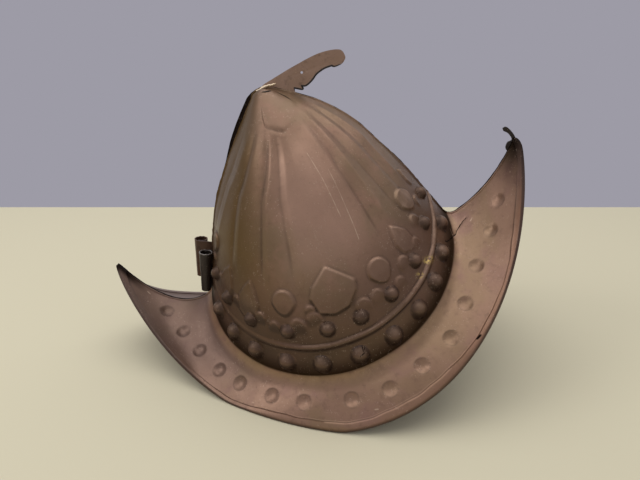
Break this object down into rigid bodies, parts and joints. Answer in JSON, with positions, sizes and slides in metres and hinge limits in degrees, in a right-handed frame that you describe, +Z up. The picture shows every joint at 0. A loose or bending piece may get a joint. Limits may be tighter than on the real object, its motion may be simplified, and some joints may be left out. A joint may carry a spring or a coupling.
{
  "type": "morion helmet",
  "caption": "Morion helmet of embossed sheet iron, with a tall keeled and fluted crown, a crescent brim with peaks, a stalk on top and rolled plume tubes at the back.",
  "frame": {"origin": "on the surface that the helmet stands on, below the middle of its box", "axes": "+X towards the front peak, +Y towards the far half, which is the wearer's left side, +Z up; the helmet stands on the low side edges of its brim with its front peak tipped up"},
  "size_m": [0.3258, 0.238, 0.2417],
  "materials": {
    "patinated_sheet": "satin brown patina, worn lighter on ridges and along the bend of the brim",
    "dark_sheet": "dark brown patina, satin"
  },
  "bodies": {
    "root": {"shell_half_near": "patinated_sheet", "shell_half_far": "patinated_sheet", "stalk": "patinated_sheet", "plume_tube_near": "dark_sheet", "plume_tube_far": "dark_sheet"}
  },
  "joints": []
}
